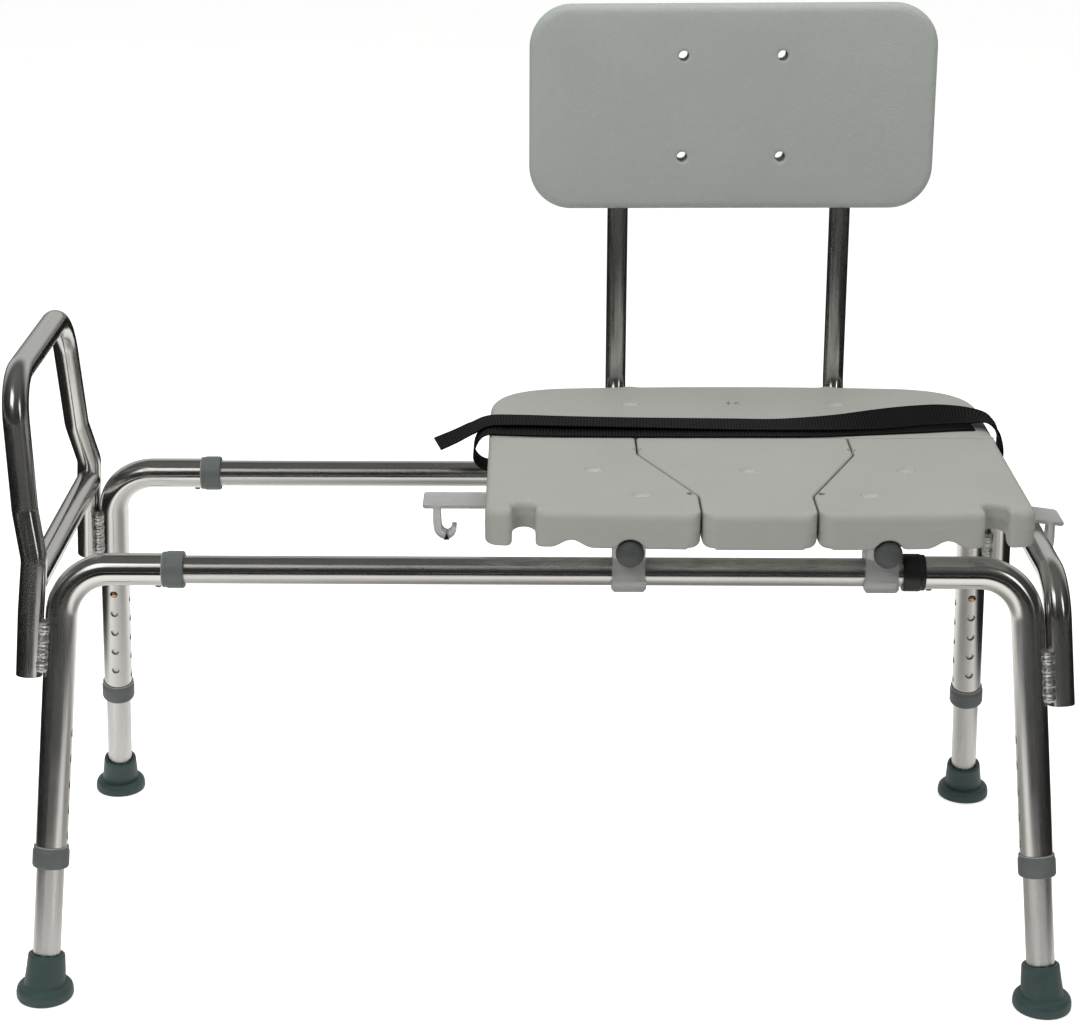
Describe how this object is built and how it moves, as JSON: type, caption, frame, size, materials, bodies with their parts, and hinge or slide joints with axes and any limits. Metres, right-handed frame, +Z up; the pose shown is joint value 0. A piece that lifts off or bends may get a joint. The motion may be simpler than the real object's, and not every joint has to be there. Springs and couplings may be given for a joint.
{
  "type": "bath transfer bench",
  "caption": "Sliding bath transfer bench: splayed tubular aluminium frame with height-adjustable legs and a handle loop; seat with backrest and lap belt slides along the rails.",
  "frame": {"origin": "on the floor, under the middle of the overall bounding box", "axes": "+X along the rails towards the seat's rest end, +Y towards the backrest, +Z up"},
  "size_m": [1.0279, 0.5959, 0.8828],
  "materials": {
    "tube_aluminium": "polished and clear anodised",
    "weld_metal": "as welded, rippled",
    "button_metal": "copper-coloured spring metal",
    "pin_steel": "plain rivet",
    "grey_plastic": "moulded, satin",
    "foot_rubber": "moulded, matte dark grey-green",
    "seat_plastic": "blow moulded, fine leather grain",
    "backrest_plastic": "blow moulded, fine leather grain",
    "white_plastic": "natural translucent nylon",
    "webbing": "ribbed polyester webbing"
  },
  "bodies": {
    "frame": {"leg_tube_front_left": "tube_aluminium", "leg_collar_front_left": "grey_plastic", "rail_collar_front_left": "grey_plastic", "weld_bead_front_left": "weld_metal", "leg_tube_front_right": "tube_aluminium", "leg_collar_front_right": "grey_plastic", "rail_collar_front_right": "grey_plastic", "weld_bead_front_right": "weld_metal", "leg_tube_rear_left": "tube_aluminium", "leg_collar_rear_left": "grey_plastic", "rail_collar_rear_left": "grey_plastic", "weld_bead_rear_left": "weld_metal", "leg_tube_rear_right": "tube_aluminium", "leg_collar_rear_right": "grey_plastic", "rail_collar_rear_right": "grey_plastic", "weld_bead_rear_right": "weld_metal", "front_rail": "tube_aluminium", "rear_rail": "tube_aluminium", "left_handle_loop": "tube_aluminium", "left_crossbar": "tube_aluminium", "right_hoop": "tube_aluminium"},
    "leg_front_left": {"leg_extension_front_left": "tube_aluminium", "foot_tip_front_left": "foot_rubber"},
    "leg_snap_front_left": {"leg_button_front_left": "button_metal"},
    "rail_snap_front_left": {"rail_button_front_left": "button_metal"},
    "leg_front_right": {"leg_extension_front_right": "tube_aluminium", "foot_tip_front_right": "foot_rubber"},
    "leg_snap_front_right": {"leg_button_front_right": "button_metal"},
    "rail_snap_front_right": {"rail_button_front_right": "button_metal"},
    "leg_rear_left": {"leg_extension_rear_left": "tube_aluminium", "foot_tip_rear_left": "foot_rubber"},
    "leg_snap_rear_left": {"leg_button_rear_left": "button_metal"},
    "rail_snap_rear_left": {"rail_button_rear_left": "button_metal"},
    "leg_rear_right": {"leg_extension_rear_right": "tube_aluminium", "foot_tip_rear_right": "foot_rubber"},
    "leg_snap_rear_right": {"leg_button_rear_right": "button_metal"},
    "rail_snap_rear_right": {"rail_button_rear_right": "button_metal"},
    "carriage": {"seat_rear_panel": "seat_plastic", "seat_left_wing": "seat_plastic", "seat_right_wing": "seat_plastic", "seat_tube_left": "tube_aluminium", "seat_tube_right": "tube_aluminium", "tube_cap_left": "foot_rubber", "tube_cap_right": "foot_rubber", "slide_block_front_left": "white_plastic", "slide_block_rear_left": "white_plastic", "slide_block_front_right": "white_plastic", "slide_block_rear_right": "white_plastic", "backrest": "backrest_plastic", "belt_under_half": "webbing", "belt_over_half": "webbing", "latch_bracket_left": "white_plastic", "latch_bracket_right": "white_plastic", "latch_pin_left": "pin_steel", "latch_pin_right": "pin_steel"},
    "insert": {"seat_insert": "seat_plastic"},
    "latch_left": {"latch_lever_left": "white_plastic"},
    "latch_right": {"latch_lever_right": "white_plastic"}
  },
  "joints": [
    {"name": "leg_height_front_left", "type": "slide", "parent": "frame", "child": "leg_front_left", "axis": [-0.0654, -0.2095, -0.9756], "range_m": [0, 0.1016], "deforming": ["leg_button_front_left"]},
    {"name": "leg_snap_press_front_left", "type": "slide", "parent": "leg_front_left", "child": "leg_snap_front_left", "axis": [0.0069, -0.9778, 0.2095], "range_m": [0, 0.0045], "stiffness_N_per_m": 600},
    {"name": "rail_snap_press_front_left", "type": "slide", "parent": "frame", "child": "rail_snap_front_left", "axis": [0, 0, 1], "range_m": [0, 0.0045], "stiffness_N_per_m": 600},
    {"name": "leg_height_front_right", "type": "slide", "parent": "frame", "child": "leg_front_right", "axis": [0.0654, -0.2095, -0.9756], "range_m": [0, 0.1016], "deforming": ["leg_button_front_right"]},
    {"name": "leg_snap_press_front_right", "type": "slide", "parent": "leg_front_right", "child": "leg_snap_front_right", "axis": [-0.0069, -0.9778, 0.2095], "range_m": [0, 0.0045], "stiffness_N_per_m": 600},
    {"name": "rail_snap_press_front_right", "type": "slide", "parent": "frame", "child": "rail_snap_front_right", "axis": [0, 0, 1], "range_m": [0, 0.0045], "stiffness_N_per_m": 600},
    {"name": "leg_height_rear_left", "type": "slide", "parent": "frame", "child": "leg_rear_left", "axis": [-0.0654, 0.2095, -0.9756], "range_m": [0, 0.1016], "deforming": ["leg_button_rear_left"]},
    {"name": "leg_snap_press_rear_left", "type": "slide", "parent": "leg_rear_left", "child": "leg_snap_rear_left", "axis": [0.0069, 0.9778, 0.2095], "range_m": [0, 0.0045], "stiffness_N_per_m": 600},
    {"name": "rail_snap_press_rear_left", "type": "slide", "parent": "frame", "child": "rail_snap_rear_left", "axis": [0, 0, 1], "range_m": [0, 0.0045], "stiffness_N_per_m": 600},
    {"name": "leg_height_rear_right", "type": "slide", "parent": "frame", "child": "leg_rear_right", "axis": [0.0654, 0.2095, -0.9756], "range_m": [0, 0.1016], "deforming": ["leg_button_rear_right"]},
    {"name": "leg_snap_press_rear_right", "type": "slide", "parent": "leg_rear_right", "child": "leg_snap_rear_right", "axis": [-0.0069, 0.9778, 0.2095], "range_m": [0, 0.0045], "stiffness_N_per_m": 600},
    {"name": "rail_snap_press_rear_right", "type": "slide", "parent": "frame", "child": "rail_snap_rear_right", "axis": [0, 0, 1], "range_m": [0, 0.0045], "stiffness_N_per_m": 600},
    {"name": "seat_slide", "type": "slide", "parent": "frame", "child": "carriage", "axis": [1, 0, 0], "range_m": [-0.361, 0]},
    {"name": "insert_lift", "type": "slide", "parent": "carriage", "child": "insert", "axis": [0, 0, 1], "range_m": [0, 0.15]},
    {"name": "latch_left_lift", "type": "hinge", "parent": "carriage", "child": "latch_left", "pos_m": [-0.045, -0.0434, 0.4355], "axis": [0, 1, 0], "range_deg": [0, 20]},
    {"name": "latch_right_lift", "type": "hinge", "parent": "carriage", "child": "latch_right", "pos_m": [0.451, -0.0434, 0.4275], "axis": [0, -1, 0], "range_deg": [0, 25]}
  ]
}
